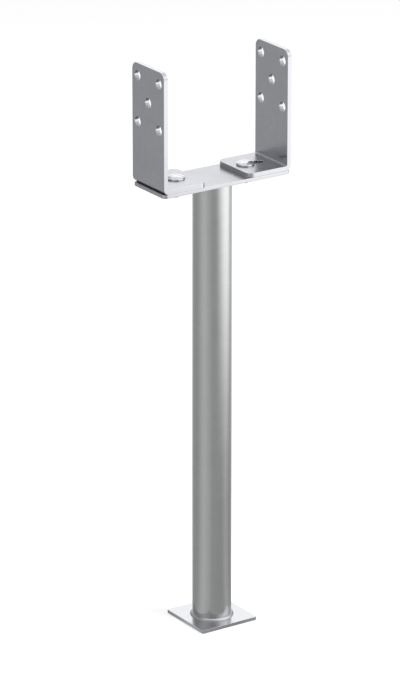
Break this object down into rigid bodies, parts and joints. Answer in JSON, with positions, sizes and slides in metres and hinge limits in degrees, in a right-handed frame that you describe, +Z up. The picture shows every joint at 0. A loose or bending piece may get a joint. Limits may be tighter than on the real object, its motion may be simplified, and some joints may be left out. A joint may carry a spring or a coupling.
{
  "type": "adjustable timber post base",
  "caption": "Steel post base for casting into concrete: a round stem on a square foot plate carries a head plate with sliding slotted angles that clamp a timber post.",
  "frame": {"origin": "middle of the foot plate's underside, on the stem's axis", "axes": "+Z up along the stem, X along the head plate from the left angle to the right angle, Y across the head plate"},
  "size_m": [0.16, 0.07, 0.6355],
  "materials": {
    "plate_zinc": "hot-dip zinc on flat plate, smooth and bright",
    "tube_zinc": "hot-dip zinc on tube, bright, faint lengthwise streaks",
    "weld_zinc": "zinc over a rippled fillet weld",
    "angle_zinc": "bright zinc on folded sheet, satin",
    "fastener_zinc": "bright zinc-plated fastener"
  },
  "bodies": {
    "base": {"foot_plate": "plate_zinc", "tube": "tube_zinc", "foot_weld": "weld_zinc", "head_weld": "weld_zinc", "head_plate": "plate_zinc", "left_bolt": "fastener_zinc", "left_washer": "fastener_zinc", "left_nut": "fastener_zinc", "right_bolt": "fastener_zinc", "right_washer": "fastener_zinc", "right_nut": "fastener_zinc"},
    "left_side": {"left_angle": "angle_zinc"},
    "right_side": {"right_angle": "angle_zinc"}
  },
  "joints": [
    {"name": "left_slide", "type": "slide", "parent": "base", "child": "left_side", "axis": [1, 0, 0], "range_m": [-0.004, 0.011]},
    {"name": "right_slide", "type": "slide", "parent": "base", "child": "right_side", "axis": [-1, 0, 0], "range_m": [0, 0.015]}
  ]
}
